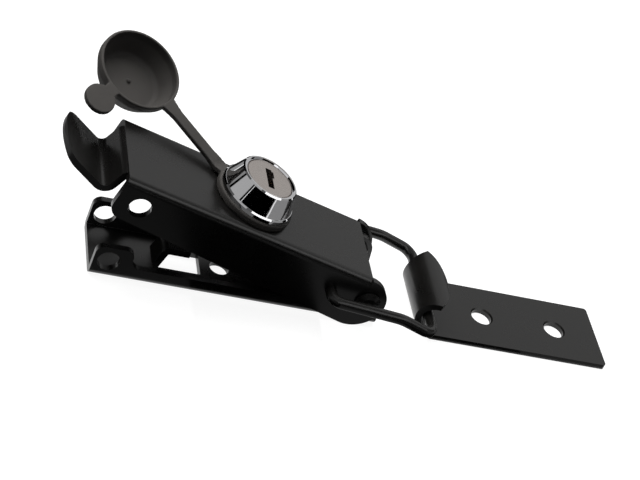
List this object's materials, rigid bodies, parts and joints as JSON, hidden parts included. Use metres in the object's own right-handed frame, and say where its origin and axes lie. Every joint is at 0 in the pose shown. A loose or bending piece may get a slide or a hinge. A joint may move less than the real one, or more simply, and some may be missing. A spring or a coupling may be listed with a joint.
{
  "type": "locking draw latch",
  "caption": "Key-locked over-centre draw latch: sheet base, folded lever with finger tab, wire bail, hooked keeper plate and flip-over rubber dust cap.",
  "frame": {"origin": "midway between the two screw holes of the base, on the mounting surface", "axes": "+X from the finger tab to the keeper plate, +Y across the latch, +Z away from the mounting surface"},
  "size_m": [0.1841, 0.0605, 0.0523],
  "materials": {
    "black_steel": "satin black coating",
    "black_wire": "satin black coating",
    "bezel_chrome": "polished chrome",
    "plug_nickel": "satin nickel",
    "zinc_steel": "zinc plated",
    "wafer_brass": "plain",
    "cap_rubber": "matte black"
  },
  "bodies": {
    "base": {"base_bracket": "black_steel", "pivot_rivet_near": "black_steel", "pivot_rivet_far": "black_steel", "pivot_spacer_near": "zinc_steel", "pivot_spacer_far": "zinc_steel"},
    "lever": {"lever_handle": "black_steel", "lock_housing": "bezel_chrome", "lock_washer": "zinc_steel", "lock_nut": "zinc_steel", "cap_ring": "cap_rubber"},
    "plug": {"lock_plug": "plug_nickel", "plug_clip": "zinc_steel", "lock_cam": "zinc_steel", "cam_washer": "zinc_steel", "cam_screw": "zinc_steel", "lock_wafer_1": "wafer_brass", "lock_wafer_2": "wafer_brass", "lock_wafer_3": "wafer_brass", "lock_wafer_4": "wafer_brass", "lock_wafer_5": "wafer_brass"},
    "bail": {"bail": "black_wire"},
    "keeper": {"keeper_plate": "black_steel"},
    "strap": {"cap_strap": "cap_rubber"},
    "cap": {"cap_cup": "cap_rubber"}
  },
  "joints": [
    {"name": "lever_pivot", "type": "hinge", "parent": "base", "child": "lever", "pos_m": [0.0288, 0, 0.011], "axis": [0, 1, 0], "range_deg": [-17.4, 73]},
    {"name": "bail_pivot", "type": "hinge", "parent": "lever", "child": "bail", "pos_m": [0.0166, 0, 0.013], "axis": [0, 1, 0], "range_deg": [-54, 13]},
    {"name": "keeper_hook", "type": "hinge", "parent": "bail", "child": "keeper", "pos_m": [0.05115, 0, 0.0068], "axis": [0, 1, 0], "range_deg": [-21, 5]},
    {"name": "plug_turn", "type": "hinge", "parent": "lever", "child": "plug", "pos_m": [-0.00921, 0, 0.03766], "axis": [0.2368, 0, 0.9715], "range_deg": [-90, 0]},
    {"name": "cap_strap_root", "type": "hinge", "parent": "lever", "child": "strap", "pos_m": [-0.02176, 0.00771, 0.03248], "axis": [0.9715, 0, -0.2368], "range_deg": [-20.2, 0.1], "stiffness_Nm_per_rad": 0.02},
    {"name": "cap_fold", "type": "hinge", "parent": "strap", "child": "cap", "pos_m": [-0.02991, 0.01341, 0.03772], "axis": [0.6252, 0.7683, 0.137], "range_deg": [0, 179], "stiffness_Nm_per_rad": 0.006}
  ],
  "couplings": [
    {"joint": "bail_pivot", "follows": "lever_pivot", "ratio": -0.72},
    {"joint": "keeper_hook", "follows": "lever_pivot", "ratio": -0.28},
    {"joint": "cap_strap_root", "follows": "cap_fold", "ratio": -0.11167}
  ]
}
